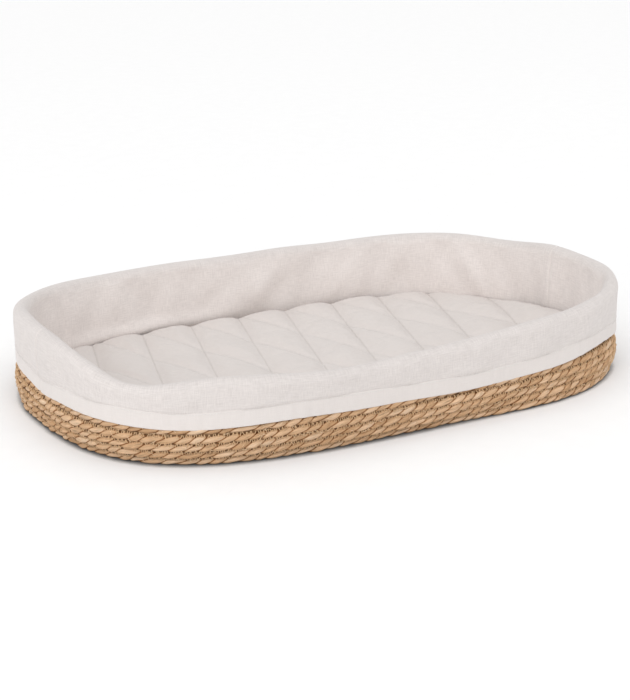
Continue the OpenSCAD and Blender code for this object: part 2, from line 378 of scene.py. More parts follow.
def seagrass_material():
    """Dry grass blades: folds and fibres along the rope, each lobe its own tint, and painted shade in the
    valleys.
    """
    s = Shader("seagrass")
    folds = s.noise(s.uv((55, 520, 1)), detail=3, roughness=0.55, distortion=0.5)
    blades = s.noise(s.uv((70, 1500, 1)), detail=3, roughness=0.6, distortion=0.3)
    fibres = s.noise(s.uv((160, 5200, 1)), detail=2, roughness=0.6)
    patches = s.noise(s.uv((40, 160, 1)), detail=2)
    mixed = s.maths("ADD", s.maths("MULTIPLY", s.value("tint"), 0.42), s.maths("MULTIPLY", patches, 0.62))
    colour = s.ramp(mixed, *SEAGRASS_TONES)
    colour = s.shade(0.75, colour, s.ramp(folds, *FOLD_TONES))
    colour = s.shade(0.45, colour, s.ramp(blades, *BLADE_TONES))
    colour = s.shade(0.35, colour, s.ramp(fibres, *FIBRE_TONES))
    # Painted shade in the valleys between the strands and in the grooves between courses.
    colour = s.shade(1.0, colour, s.ramp(s.value("relief"), *VALLEY_PAINTED_SHADE))
    normal = s.bump(folds, 0.6, 0.0012)
    normal = s.bump(blades, 0.5, 0.0006, normal)
    normal = s.bump(fibres, 0.3, 0.0003, normal)
    return s.finish(colour, normal, s.ramp(blades, (0.3, 0.75), (0.7, 0.55)), sheen=0.0, specular=0.12)


def twine_material(name, dark, light):
    s = Shader(name)
    strands = s.noise(s.place((900, 900, 900)), detail=2)
    colour = s.ramp(strands, (0.3, dark), (0.7, light))
    return s.finish(colour, s.bump(strands, 0.4, 0.0002), 0.8, sheen=0.1, specular=0.2)


OUTSIDE_PAINTED_SHADE = 0.955  # painted shade: the cuff is drawn a little darker than the cloth inside
# painted light: the cloth inside the basket is drawn lighter
INSIDE_PAINTED_LIGHT = 1.12
LINEN_PITCH = 0.0009  # between two threads of each cloth's weave
QUILT_CLOTH_PITCH = 0.0006
ELASTIC_PITCH = 0.0012


def weave_height(s, pitch):
    """Plain weave: threads each way, one over the other, about pitch metres apart."""
    turns = 1.0 / pitch
    threads_each_way = []
    for direction in ("X", "Y"):
        bands = s.node("ShaderNodeTexWave", Vector=s.uv((turns, turns, 1)), Scale=TAU / 20, Distortion=0.6)
        bands.bands_direction = direction
        bands.inputs["Detail Scale"].default_value = 0.4
        threads_each_way.append(bands.outputs["Fac"])
    return s.maths("MULTIPLY", *threads_each_way)


QUILT_PITCH = 0.074  # between two seams of a family, along the pad
QUILT_LEAN = math.tan(math.radians(17.5))  # how far a seam leans along the pad, for each metre across it
QUILT_PHASE = -0.012  # where two seams cross at the back edge
QUILT_STRETCH = 0.20  # the seams spread towards the right-hand end, by this much times x squared
SEAM_LINE = 0.0013  # how wide the painted shade in a quilted seam is, on each side
# Painted shade at the bottoms of the seams of each family.
TIGHT_SEAM_SHADE = (0.80, 0.775, 0.75)
SLACK_SEAM_SHADE = (0.94, 0.925, 0.91)


def seam_painted_shade(s, colour):
    """Paints shade into the bottoms of the pad's seams, the tighter of the two families more."""
    place = s.node("ShaderNodeSeparateXYZ", Vector=s.uv((1, 1, 1)))
    far = s.maths("SUBTRACT", place.outputs["Y"], PAD_WIDTH)
    right = s.maths("MAXIMUM", place.outputs["X"], 0.0)
    spread = s.maths("MULTIPLY", s.maths("MULTIPLY", right, right), QUILT_STRETCH)
    even = s.maths("SUBTRACT", place.outputs["X"], spread)
    for side, shade in ((-1, TIGHT_SEAM_SHADE), (1, SLACK_SEAM_SHADE)):
        across = s.maths("ADD", even, s.maths("MULTIPLY", far, side * QUILT_LEAN))
        turns = s.maths("MULTIPLY", s.maths("SUBTRACT", across, QUILT_PHASE), 1 / QUILT_PITCH)
        gap = s.maths("ABSOLUTE", s.maths("SUBTRACT", turns, s.maths("ROUND", turns)))
        line = s.ramp(gap, (0.0, shade), (SEAM_LINE / QUILT_PITCH, 1.0))
        colour = s.shade(1.0, colour, line)
    return colour


def linen_material(name, light, dark, contrast, pitch=LINEN_PITCH, painted_light_inside=False, seams=False):
    """Linen and cotton cloth: slubs along both threads, a heathered tint and a plain weave. The liner's
    cloth has painted light inside the basket and painted shade outside it; the pad's has painted shade in
    its seams."""
    s = Shader(name)
    along = s.noise(s.uv((70, 900, 1)), detail=3, roughness=0.65)
    across = s.noise(s.uv((900, 70, 1)), detail=3, roughness=0.65)
    slubs = s.maths("MULTIPLY", s.maths("ADD", along, across), 0.5)
    cloudy = s.noise(s.uv((14, 14, 1)), detail=4, roughness=0.6)
    colour = s.ramp(slubs, (0.5 - contrast, dark), (0.5 + contrast, light))
    colour = s.shade(0.5, colour, s.ramp(cloudy, (0.35, 0.955), (0.65, 1.0)))
    if painted_light_inside:
        # Painted light inside the basket, fading over the roll to painted shade on the cuff.
        colour = s.shade(1.0, colour, s.ramp(s.value("inside"), (0.0, OUTSIDE_PAINTED_SHADE), (1.0, INSIDE_PAINTED_LIGHT)))
    # painted shade along the pad's quilted seams
    if seams:
        colour = seam_painted_shade(s, colour)
    weave = weave_height(s, pitch)
    colour = s.shade(0.35, colour, s.ramp(weave, (0.0, 0.90), (0.6, 1.0)))
    normal = s.bump(weave, 0.30, 0.0003)
    normal = s.bump(slubs, 0.35, 0.0005, normal)
    return s.finish(colour, normal, 0.9, sheen=0.25, specular=0.15)


def thread_material(name, colour):
    s = Shader(name)
    twist = s.noise(s.place((1500, 1500, 1500)), detail=1)
    dark = tuple(c * 0.82 for c in colour)
    return s.finish(s.ramp(twist, (0.35, dark), (0.65, colour)), s.bump(twist, 0.3, 0.0002), 0.75, sheen=0.2)


SEAGRASS = seagrass_material()
TWINE = twine_material("twine", (0.52, 0.33, 0.17), (0.76, 0.53, 0.32))
# Painted shade: grass coloured dark to stand for the shade in the grooves between courses.
PAINTED_SHADE_GRASS = twine_material("painted_shade_grass", (0.13, 0.070, 0.032), (0.26, 0.150, 0.075))
STRAY_GRASS = twine_material("stray_grass", (0.50, 0.31, 0.16), (0.86, 0.66, 0.45))
LINEN = linen_material("linen", (0.800, 0.748, 0.722), (0.660, 0.612, 0.590), 0.13, painted_light_inside=True)
HEM_CLOTH = linen_material("hem_cloth", (0.772, 0.722, 0.695), (0.710, 0.662, 0.636), 0.20)
QUILT_TONES = ((0.730, 0.678, 0.650), (0.696, 0.645, 0.616))
QUILT_CLOTH = linen_material("quilt_cloth", *QUILT_TONES, 0.20, QUILT_CLOTH_PITCH, seams=True)
ELASTIC = linen_material("elastic_tape", (0.900, 0.900, 0.880), (0.780, 0.780, 0.760), 0.15, ELASTIC_PITCH)
WHITE_THREAD = thread_material("white_thread", (0.800, 0.780, 0.760))


# ---------------------------------------------------------------- rope

LAY = 0.0345  # length of one full twist of the two strands
LAY_UNEVEN = (0.14, 0.34)  # least and most of each wave in the twist, in radians
LAY_WAVES = (5, 9, 14, 23, 31, 43, 61)  # how many of each such wave a rope has
STRAND_R = 0.72  # a strand's radius, as a share of the rope's
STRAND_OFF = 0.28  # how far a strand's middle is from the rope's, as a share of its radius
LOBE_UNEVEN = 0.09  # how much the lobes differ in size, as a share of it
LOBE_END_FROM = 0.66  # a lobe's relief sinks above and below this share of the rope's height, deepening its painted shade
LOBE_END_OVER = 0.30
LOBE_END_DEPTH = 0.92
GRAIN_TURN = 0.75  # how far the grain follows the twist
GRAIN_STEP = (0.113, 0.0371)  # how far each lobe's grain is shifted from the last one's
PRESSED_FLAT = 0.0001  # ropes that stand on the floor are pressed flat this far above it


def strand_profile(psi):
    """The radius of two round strands side by side, at an angle from the first, as a share of the rope's."""
    side = np.abs(np.sin(psi)) * STRAND_OFF
    return np.abs(np.cos(psi)) * STRAND_OFF + np.sqrt(STRAND_R**2 - side**2)


def ring_angles(count):
    """Angles round the rope, closer together near the two valleys between the strands."""
    even = np.arange(count) / count * TAU
    return even + 0.28 * np.sin(2 * even)


def rope(name, line, out, wide, tall, ring_count, seed, closed=True):
    """A two-strand rope along a line of points, with out the section's level direction at each point, and
    wide and tall its half sizes along that and upwards."""
    rng = np.random.default_rng(seed)
    gaps = np.linalg.norm(np.diff(np.vstack([line, line[:1]]), axis=0), axis=1)
    length = gaps.sum() if closed else gaps[:-1].sum()
    run = lengths_to(gaps)[:-1]
    twists = max(1, round(length / LAY))
    place = run / length
    wander = sum(rng.uniform(*LAY_UNEVEN) * np.sin(TAU * k * place + rng.uniform(0, TAU)) for k in LAY_WAVES)
    theta = TAU * twists * place + wander + rng.uniform(0, TAU)
    psi = ring_angles(ring_count)
    phi = theta[:, None] + psi[None, :]

    strand = (np.cos(psi) < 0).astype(int)[None, :]
    turn = np.floor((phi - psi[None, :] + np.pi * strand) / TAU + 0.5).astype(int) % twists
    tints = rng.random((2, twists + 1))
    sizes = 1 + LOBE_UNEVEN * rng.standard_normal((2, twists + 1))
    tint = tints[strand, turn]
    swell = sizes[strand, turn]
    share = ((theta[:, None] + np.pi * strand) / TAU + 0.5) % 1.0
    swell = 1 + (swell - 1) * np.sin(np.pi * share) ** 2

    profile = strand_profile(psi)[None, :] * swell
    # relief sets the painted shade: 0 in the valleys between the strands, 1 on the tops of the lobes.
    relief = (strand_profile(psi) - strand_profile(np.pi / 2)) / (1 - strand_profile(np.pi / 2))
    relief = np.broadcast_to(relief[None, :], phi.shape)
    relief = relief * (1 - LOBE_END_DEPTH * smooth((np.abs(np.sin(phi)) - LOBE_END_FROM) / LOBE_END_OVER))
    side = (profile * np.cos(phi) * wide)[..., None] * out[:, None, :]
    rise = (profile * np.sin(phi) * np.reshape(tall, (-1, 1)))[..., None] * UP
    verts = line[:, None, :] + side + rise
    verts[..., 2] = np.maximum(verts[..., 2], PRESSED_FLAT)

    quads = grid_quads(len(line), ring_count, closed, True)
    rows = len(line) + closed
    run_edge = np.append(run, length)[:rows]
    theta_edge = np.append(theta, theta[0] + TAU * twists)[:rows]
    psi_edge = np.append(psi, psi[0] + TAU)
    lobe = np.append(turn, turn[:1], axis=0)[:rows] + 0.37 * strand
    lobe = np.append(lobe, lobe[:, :1], axis=1)
    u_edge = run_edge[:, None] + 0 * psi_edge[None, :]
    v_edge = ROPE_R * (psi_edge[None, :] + GRAIN_TURN * theta_edge[:, None])
    uv = corner_uv(u_edge, v_edge)
    shift = np.broadcast_to(lobe[:-1, :-1, None], (rows - 1, ring_count, 4)).reshape(-1)
    uv += shift[:, None] * GRAIN_STEP
    floats = {"tint": tint.ravel(), "relief": relief.ravel()}
    return add_mesh(name, verts.reshape(-1, 3), quads, uv, floats, SEAGRASS)


COURSE_UNEVEN = 0.0005  # how far the courses wander up and down
COURSE_FREE = 0.02  # and the height from which they do so in full
COURSE_UNEVEN_OUT = 0.0004  # how far they wander in and out


def course_wave(u, z):
    """How unevenly the courses lie: level on the floor and less so higher up."""
    return COURSE_UNEVEN * smooth(z / COURSE_FREE) * waves(u, (2, 12), 5, 200)


def course_path(node, count):
    """A wall course's centre line, from its CAD box, with the unevenness of hand-made work."""
    length, _ = half_size(node)
    low, high = heights(node)
    index = COURSES.index(node)
    u = (np.arange(count) + 0.5) / count
    middle = (low + high) / 2
    uneven = COURSE_UNEVEN_OUT * waves(u, (3, 14), 5, 100 + index)
    out = length - ROPE_R - RIM_LENGTH + uneven
    x, y, nx, ny = RIM.at(u, out + foot_out(u, middle))
    z = settled(u, middle) + course_wave(u, middle)
    tall = (settled(u, high) - settled(u, low)) / 2
    return np.stack([x, y, z], axis=1), level(nx, ny), tall


DRAWN_FINE = 6  # courses that show below the cuff, with one more
FINE_STEP, FINE_RING = 0.0013, 20  # a rope's steps along it and its points round it
PLAIN_STEP, PLAIN_RING = 0.0024, 12
BASE_STEP, BASE_RING = 0.0030, 10
ROPE_SQUASH = 1.10  # the courses press into each other by this much
BASE_SPREAD = 1.06  # the base's turns are this much wider than they are tall


def wall_ropes():
    for index, node in enumerate(COURSES):
        fine = index < DRAWN_FINE
        count = int(RIM.around / (FINE_STEP if fine else PLAIN_STEP))
        ring = FINE_RING if fine else PLAIN_RING
        line, out, tall = course_path(node, count)
        tall = tall * (ROPE_SQUASH if index else 1.0)
        obj = rope(node + "_rope", line, out, ROPE_R, tall, ring, 10 + index)
        finish_piece(obj, "basket", "seagrass_rope", node)


def base_ropes():
    """The coil: each turn is the lowest course drawn in towards the straight core. Gives the outer edge of
    each turn, as points along it and the way out of the basket there."""
    grooves = []
    half = COURSE_H / 2
    core = CORE_HALF - half
    lowest = half_size(COURSES[0])[0] - ROPE_R - RIM_LENGTH
    outer_x, outer_y, _, _ = RIM.at(RIM.u[:-1], lowest + foot_out(RIM.u[:-1], half))
    for index, node in enumerate(TURNS):
        share = (half_size(node)[1] - half) / outer_y.max()
        middle = np.clip(outer_x, -core, core)
        x = middle + (outer_x - middle) * share
        y = outer_y * share
        gaps = np.hypot(np.diff(np.append(x, x[0])), np.diff(np.append(y, y[0])))
        run = lengths_to(gaps)
        count = max(60, int(run[-1] / BASE_STEP))
        at = np.arange(count) / count * run[-1]
        x, y = np.interp(at, run, np.append(x, x[0])), np.interp(at, run, np.append(y, y[0]))
        dx, dy = np.roll(x, -1) - np.roll(x, 1), np.roll(y, -1) - np.roll(y, 1)
        out = level(dy, -dx) / np.hypot(dx, dy)[:, None]
        line = level(x, y) + UP * half
        obj = rope(node + "_rope", line, out, half * BASE_SPREAD, half, BASE_RING, 60 + index)
        finish_piece(obj, "basket", "seagrass_rope", node)
        grooves.append((line + out * half, out))
    count = int(2 * core / BASE_STEP)
    x = np.linspace(-CORE_HALF, CORE_HALF, count)
    line = level(x, 0 * x) + UP * half
    out = np.broadcast_to(np.array([0.0, 1.0, 0.0]), line.shape)
    obj = rope("base_core_rope", line, out, half, half, BASE_RING, 59, closed=False)
    finish_piece(obj, "basket", "seagrass_rope", "base_core")
    return grooves


wall_ropes()
BASE_GROOVES = base_ropes()

# ---------------------------------------------------------------- stitches

THREAD_BENDS = 4
THREAD_SIDES = 5
THREAD_SUNK = 0.25  # how far a thread's ends are sunk in, as a share of its bow


def threads(name, starts, ends, lift, radius, material):
    """Short threads from starts to ends, each bowed outwards along lift and sunk in at both ends."""
    count = len(starts)
    t = np.linspace(0, 1, THREAD_BENDS)[None, :, None]
    bow = (1 - (2 * t - 1) ** 2) - THREAD_SUNK
    line = starts[:, None] * (1 - t) + ends[:, None] * t + lift[:, None] * bow
    along = ends - starts
    along /= np.linalg.norm(along, axis=1)[:, None]
    first = np.cross(along, lift)
    first /= np.linalg.norm(first, axis=1)[:, None]
    second = np.cross(along, first)
    angle = np.arange(THREAD_SIDES) / THREAD_SIDES * TAU
    spread = np.cos(angle)[:, None] * first[:, None, :] + np.sin(angle)[:, None] * second[:, None, :]
    verts = line[:, :, None, :] + radius * spread[:, None, :, :]
    one = grid_quads(THREAD_BENDS, THREAD_SIDES, False, True)
    step = THREAD_BENDS * THREAD_SIDES
    quads = (one[None] + (np.arange(count) * step)[:, None, None]).reshape(-1, 4)
    return add_mesh(name, verts.reshape(-1, 3), quads, material=material)


WALL_STITCH = 0.0026  # from one needle hole to the next, along the groove
WALL_STITCH_HALF = 0.0021  # how far a stitch reaches above and below its groove
WALL_STITCH_OUT = 0.80  # where it lies in the groove, as a share of the rope's radius
WALL_STITCH_SUNK = 0.0002
WALL_STITCH_BOW = 0.0007
STITCH_SLANT = 0.30  # how far every other stitch leans each way, as a share of its reach
# How uneven hand-made stitches are: in their spacing, reach, slant and depth.
SPACING_UNEVEN, REACH_UNEVEN, SLANT_UNEVEN, DEPTH_UNEVEN = 0.28, 0.22, 0.15, 0.0003
THREAD_R = 0.00046
GROOVE_CORD_R = 0.0021
GROOVE_STEPS = 600
STRAYS = 620
STRAY_R = 0.00034
STRAY_HALF = (0.0015, 0.0042)  # least and most half length of a stray blade
STRAY_SUNK = 0.0007
STRAY_BOW = 0.0013
BASE_THREAD_Z = 0.0011  # how deep the base's stitches lie
BASE_THREAD_BOW = 0.0006


def groove_cord(name, out, groove):
    """Grass that fills the groove behind the stitches, so that no light shows through it, coloured dark as
    painted shade.
    """
    u = np.arange(GROOVE_STEPS) / GROOVE_STEPS
    angle = np.arange(THREAD_SIDES)[None, :] / THREAD_SIDES * TAU
    x, y, _, _ = RIM.at(u[:, None], out + foot_out(u, groove)[:, None] + GROOVE_CORD_R * np.cos(angle))
    z = (settled(u, groove) + course_wave(u, groove))[:, None] + GROOVE_CORD_R * np.sin(angle)
    verts = np.stack([x, y, z], axis=-1).reshape(-1, 3)
    return add_mesh(name, verts, grid_quads(GROOVE_STEPS, THREAD_SIDES, True, True), material=PAINTED_SHADE_GRASS)


def wall_ends(u, out, z, along, outwards, upwards, bow):
    """The two ends of short threads on the wall and their bow. Each is in the middle at u, out and z, and
    reaches half its length along, outwards and upwards, one end to each side."""
    ends = []
    for side in (1, -1):
        x, y, nx, ny = RIM.at(u + side * along / RIM.around, out + side * outwards)
        ends.insert(0, np.stack([x, y, z + side * upwards], axis=1))
    return *ends, level(nx, ny) * bow


def wall_threads():
    """The zigzag that sews each course to the one below it."""
    pieces = []
    stitches = int(RIM.around / WALL_STITCH) // 2 * 2
    holes = np.arange(stitches + 1)
    for index, (lower, upper) in enumerate(zip(COURSES[:-1], COURSES[1:])):
        rng = np.random.default_rng(300 + index)
        u = (holes + SPACING_UNEVEN * rng.standard_normal(len(holes))) / stitches
        gap = (half_size(lower)[0] + half_size(upper)[0]) / 2 - ROPE_R - RIM_LENGTH
        groove = heights(lower)[1]
        z = settled(u, groove) + course_wave(u, groove)
        out = gap + WALL_STITCH_OUT * ROPE_R + foot_out(u, groove)
        lean = (half_size(upper)[0] - half_size(lower)[0]) / COURSE_H
        reach = WALL_STITCH_HALF * (1 + REACH_UNEVEN * rng.standard_normal(len(holes)))
        zigzag = STITCH_SLANT * np.where(holes % 2, 1, -1)
        slant = zigzag + SLANT_UNEVEN * rng.standard_normal(len(holes))
        sunk = DEPTH_UNEVEN * rng.standard_normal(len(holes)) - WALL_STITCH_SUNK
        ends = wall_ends(u, out + sunk, z, slant * reach, lean * reach, reach, WALL_STITCH_BOW)
        pieces.append(threads(f"wall_thread_{index + 1:02d}", *ends, THREAD_R, TWINE))
        pieces.append(groove_cord(f"wall_cord_{index + 1:02d}", gap, groove))
    for piece in pieces:
        finish_piece(piece, "basket", "sewing_thread")
    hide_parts("wall_stitching")


def stray_blades():
    """Loose ends of grass that have worked out of the courses below the cuff."""
    rng = np.random.default_rng(400)
    shown = COURSES[:DRAWN_FINE]
    levels = [sum(heights(node)) / 2 for node in shown]
    faces = [half_size(node)[0] - RIM_LENGTH for node in shown]
    u = rng.random(STRAYS)
    height = rng.uniform(levels[0], levels[-1], STRAYS)
    half = rng.uniform(*STRAY_HALF, STRAYS)
    angle = rng.uniform(-1.0, 1.0, STRAYS)
    out = np.interp(height, levels, faces) + foot_out(u, height) - STRAY_SUNK
    along, upwards = half * np.cos(angle), half * np.sin(angle)
    ends = wall_ends(u, out, settled(u, height), along, 0.0, upwards, STRAY_BOW)
    obj = threads("stray_blades", *ends, STRAY_R, STRAY_GRASS)
    finish_piece(obj, "basket", "seagrass_rope")


def base_threads(grooves):
    """The stitches that sew each turn of the base to the next, above and below."""
    starts, ends, lifts = [], [], []
    for points, out in grooves:
        along = np.roll(points, -1, axis=0) - points
        for up, height in ((-1, BASE_THREAD_Z), (1, COURSE_H - BASE_THREAD_Z)):
            middle = points * (1, 1, 0) + UP * height
            starts.append(middle - out * WALL_STITCH_HALF - along * 0.2)
            ends.append(middle + out * WALL_STITCH_HALF + along * 0.2)
            lifts.append(np.broadcast_to(UP * up * BASE_THREAD_BOW, middle.shape))
    obj = threads("base_threads", *(np.concatenate(part) for part in (starts, ends, lifts)), THREAD_R, TWINE)
    finish_piece(obj, "basket", "sewing_thread", "base_stitching")


# ---------------------------------------------------------------- liner

CLOTH_T = 0.0012
CLOTH_STEP = 0.0026
SEAM_TUCK = 0.0016  # how deep the end seams are, and half how wide they are
SEAM_HALF = 0.0016
SEAM_EDGE = 0.0008  # between the two extra rows of points beside a seam
CUFF_OVERLAP = 0.008  # how far the cuff's cloth reaches down behind the hem
CUFF_UNDER_HEM = -0.0016  # how far out the cuff's cloth is behind the hem
HEM_LEAD = 0.0015  # it starts to draw in this far above the hem
HEM_DRAW = 0.0035  # and has done so this much lower
ROLL_UNEVEN = 0.0008
LARGE_FOLDS = 0.0016
SMALL_FOLDS = 0.0008
CUFF_FOLDS = 0.0005
CUFF_STANDS_OFF = 0.0003
WALL_STANDS_OFF = 0.0016
INSIDE_ENDS = 1.35  # the share of the section where the painted light inside ends, a third of the way over the roll
INSIDE_FADES = 0.50


def rim_top(u):
    return ROLL_TOP + rim_shift(u)


def seam_distance(u):
    """How far u is along the rim from the nearer end seam, in metres."""
    right = np.abs(shorter_way(u))
    left = np.abs(shorter_way(u - LEFT_SEAM))
    return np.minimum(right, left) * RIM.around


def section(count):
    """The liner's section as (share, along): share 0 to 1 up the inside, 1 to 2 over the roll and 2 to 3
    down the outside, at even steps of cloth."""
    wall = ROLL_TOP - SKIRT_FOOT - ROLL_R
    roll = math.pi * ROLL_R
    cuff = ROLL_TOP - ROLL_R - HEM_HIGH + CUFF_OVERLAP
    along = np.linspace(0, wall + roll + cuff, count)
    share = np.interp(along, [0, wall, wall + roll, wall + roll + cuff], [0, 1, 2, 3])
    return share, along


# The slack cloth's largest folds inside: where each is at the rim and at the foot, in shares of the way
# round, then its half width in the same shares, and how far it stands off the wall.
CREASES = (
    (0.210, 0.268, 0.0130, 0.0018),
    (0.240, 0.298, 0.0110, -0.0012),
    (0.160, 0.190, 0.0070, 0.0022),
    (0.088, 0.060, 0.0070, 0.0036),
    (0.105, 0.078, 0.0070, -0.0024),
    (0.345, 0.330, 0.0090, 0.0024),
    (0.690, 0.740, 0.0110, 0.0030),
    (0.880, 0.850, 0.0090, 0.0026),
)


# At the back left the cloth has slumped into one low fold along the foot of the wall. Its middle and half
# width are shares of the way round, and its height and half height are shares of the wall's.
SLUMP_MIDDLE = 0.335
SLUMP_WIDTH = 0.055
SLUMP_HEIGHT = 0.16
SLUMP_HALF_HEIGHT = 0.12
SLUMP_DEPTH = 0.0060


def slump(u, inside):
    return SLUMP_DEPTH * bell(u - SLUMP_MIDDLE, SLUMP_WIDTH) * bell(inside - SLUMP_HEIGHT, SLUMP_HALF_HEIGHT)


def creases(u, inside):
    total = 0
    for at_rim, at_foot, width, depth in CREASES:
        middle = at_foot + (at_rim - at_foot) * inside
        total = total + depth * bell(shorter_way(u - middle), width)
    return total


def liner_surface(u, share, along):
    """Points on the liner. u and share are arrays that broadcast together."""
    shoulder = rim_top(u) - ROLL_R
    inside, over, outside = np.clip(share, 0, 1), np.clip(share - 1, 0, 1), np.clip(share - 2, 0, 1)
    angle = np.pi * over
    soft = ROLL_UNEVEN * waves(u, (5, 24), 6, 33)
    out = -ROLL_R - (ROLL_R + soft) * np.cos(angle)
    z = np.where(share < 1, SKIRT_FOOT + (shoulder - SKIRT_FOOT) * inside, shoulder + ROLL_R * np.sin(angle))
    foot = HEM_HIGH - CUFF_OVERLAP + hem_shift(u)
    z = np.where(share > 2, shoulder - (shoulder - foot) * outside, z)

    slack = np.sin(np.pi * np.clip(inside * 0.92, 0, 1)) * (share < 1)
    folds = LARGE_FOLDS * waves(u, (7, 18), 9, 35, along, (15, 38))
    folds += SMALL_FOLDS * waves(u, (20, 44), 9, 36, along, (10, 60))
    out = out + slack * (folds - creases(u, inside) - WALL_STANDS_OFF) - slump(u, inside) * (share < 1)
    cuff_slack = np.sin(np.pi * np.clip(outside * 1.6, 0, 1)) * (share > 2)
    cuff_folds = CUFF_FOLDS * waves(u, (6, 30), 8, 37, along, (5, 30))
    out = out + cuff_slack * (cuff_folds + CUFF_STANDS_OFF)
    under_hem = smooth((HEM_HIGH + hem_shift(u) + HEM_LEAD - z) / HEM_DRAW) * (share > 2)
    out = out * (1 - under_hem) + CUFF_UNDER_HEM * under_hem
    tuck = SEAM_TUCK * bell(seam_distance(u), SEAM_HALF)
    out = out + tuck * np.cos(angle)
    z = z - tuck * np.sin(angle)
    x, y, _, _ = RIM.at(u, out)
    return np.stack(np.broadcast_arrays(x, y, z), axis=-1)


def liner_panel(name, u_from, u_to, *replaced):
    """One half of the liner, between the end seams, and its flat size."""
    columns = int((u_to - u_from) * RIM.around / CLOTH_STEP)
    rows = int(section(2)[1][-1] / CLOTH_STEP)
    share, along = section(rows)
    u = np.linspace(u_from, u_to, columns)
    edge = SEAM_EDGE / RIM.around
    u = np.sort(np.concatenate([u, [u_from + edge, u_from + 2 * edge, u_to - edge, u_to - 2 * edge]]))
    verts = liner_surface(u[:, None], share[None, :], along[None, :])
    quads = grid_quads(len(u), rows, False, False)
    uv = cloth_uv(u * RIM.around, along)
    # Where the cloth gets painted light (1) and where it gets painted shade (0).
    inside = np.broadcast_to(smooth((INSIDE_ENDS - share) / INSIDE_FADES)[None, :], (len(u), rows))
    obj = add_mesh(name, verts.reshape(-1, 3), quads, uv, {"inside": inside.ravel()}, LINEN)
    thick = obj.modifiers.new("cloth", "SOLIDIFY")
    thick.thickness = CLOTH_T
    thick.offset = -1
    finish_piece(obj, "liner", "linen_cloth", *replaced)
    return obj, (float((u_to - u_from) * RIM.around), float(along[-1]))


HEM_T = 0.0020
HEM_PROUD = 0.0006  # how far out the hem's face is
HEM_TOP_EDGE = 0.6  # how far out its top edge is, as a share of half its thickness
HEM_SWAY = 0.0005
HEM_PUCKER = 0.00018
HEM_HANG = 0.0007
HEM_TUCK = 0.7  # how deep the end seams are in the hem, as a share of the cuff's
HEM_TUCK_HALF = 0.0018
HEM_STEP = 0.0022
HEM_STITCH = 0.0034  # from one stitch of the hem's line to the next
HEM_STITCH_LONG = 0.0022
HEM_STITCH_DOWN = 0.0018  # below the hem's top edge
HEM_THREAD_R = 0.00022
HEM_THREAD_BOW = 1.6  # in radii of the thread
ELASTIC_HALF_T = 0.0003
ELASTIC_STEPS = 700


def hem_section():
    """The hem band's closed section: the face, round the bottom fold, and up the back."""
    bottom = np.linspace(0, np.pi, 8)
    r = HEM_T / 2
    face = np.linspace(HEM_HIGH, HEM_LOW + r, 12)[:-1]
    out = np.concatenate([np.full(len(face), r), r * np.cos(bottom), np.full(len(face), -r)])
    z = np.concatenate([face, HEM_LOW + r - r * np.sin(bottom), face[::-1]])
    out[0] = r * HEM_TOP_EDGE
    return out + HEM_PROUD - r, z


# Where the hem hangs lower or higher, each as (middle, half width, height).
HEM_DROOPS = (
    (0.609, 0.035, -0.0035),
    (0.774, 0.060, -0.0060),
    (0.881, 0.038, 0.0045),
    (0.504, 0.018, -0.0060),
)


def hem_shift(u):
    """How far the hem is above the CAD hem."""
    return bumps(u, *HEM_DROOPS)


def hem_surface(u, out, z):
    low = (HEM_HIGH - z) / (HEM_HIGH - HEM_LOW)
    z = z + hem_shift(u)
    sway = HEM_SWAY * waves(u, (4, 18), 7, 41) * smooth(low)
    pucker = HEM_PUCKER * waves(u, (60, 150), 10, 42, z, (20, 80))
    hang = HEM_HANG * waves(u, (3, 14), 7, 43) * low
    tuck = SEAM_TUCK * HEM_TUCK * bell(seam_distance(u), HEM_TUCK_HALF)
    x, y, _, _ = RIM.at(u, out + sway + pucker - tuck)
    return np.stack(np.broadcast_arrays(x, y, z + hang), axis=-1)


def hem_ring(name, out, z, closing, columns, material):
    """A closed section (out, z) taken round with the hem. closing is how long its last side is."""
    u = np.arange(columns) / columns
    verts = hem_surface(u[:, None], out[None, :], z[None, :])
    quads = grid_quads(columns, len(z), True, True)
    run = lengths_to(np.hypot(np.diff(out), np.diff(z)))
    uv = cloth_uv(np.arange(columns + 1) / columns * RIM.around, np.append(run, run[-1] + closing))
    return add_mesh(name, verts.reshape(-1, 3), quads, uv, material=material)


def add_hem():
    obj = hem_ring("hem", *hem_section(), HEM_T, int(RIM.around / HEM_STEP), HEM_CLOTH)
    return finish_piece(obj, "liner", "linen_cloth", "liner_hem_band")


def add_liner_stitches():
    """Running stitches along the top of the hem."""
    count = int(RIM.around / HEM_STITCH)
    u = (np.arange(count) + 0.5) / count
    half = HEM_STITCH_LONG / 2 / (HEM_STITCH * count)
    out = np.full(count, HEM_PROUD)
    z = np.full(count, HEM_HIGH - HEM_STITCH_DOWN)
    _, _, nx, ny = RIM.at(u + half)
    lift = level(nx, ny) * HEM_THREAD_R * HEM_THREAD_BOW
    starts, ends = (hem_surface(u + side * half, out, z) for side in (-1, 1))
    line = threads("hem_stitches", starts, ends, lift, HEM_THREAD_R, WHITE_THREAD)
    return finish_piece(line, "liner", "white_thread", "liner_stitching")


def add_elastic():
    """The elastic inside the hem."""
    low, high = heights("liner_hem_elastic")
    out = np.array([1, 1, -1, -1]) * ELASTIC_HALF_T + HEM_PROUD - HEM_T / 2
    z = np.array([high, low, low, high])
    obj = hem_ring("elastic", out, z, 2 * ELASTIC_HALF_T, ELASTIC_STEPS, ELASTIC)
    return finish_piece(obj, "liner", "elastic", "liner_hem_elastic")


def add_liner():
    front, flat_front = liner_panel("liner_front", LEFT_SEAM, 1.0, "liner_front_panel", "liner_skirt_hem")
    back, flat_back = liner_panel("liner_back", 0.0, LEFT_SEAM, "liner_back_panel")
    hem = add_hem()
    stitches = add_liner_stitches()
    elastic = add_elastic()


# ---------------------------------------------------------------- mattress

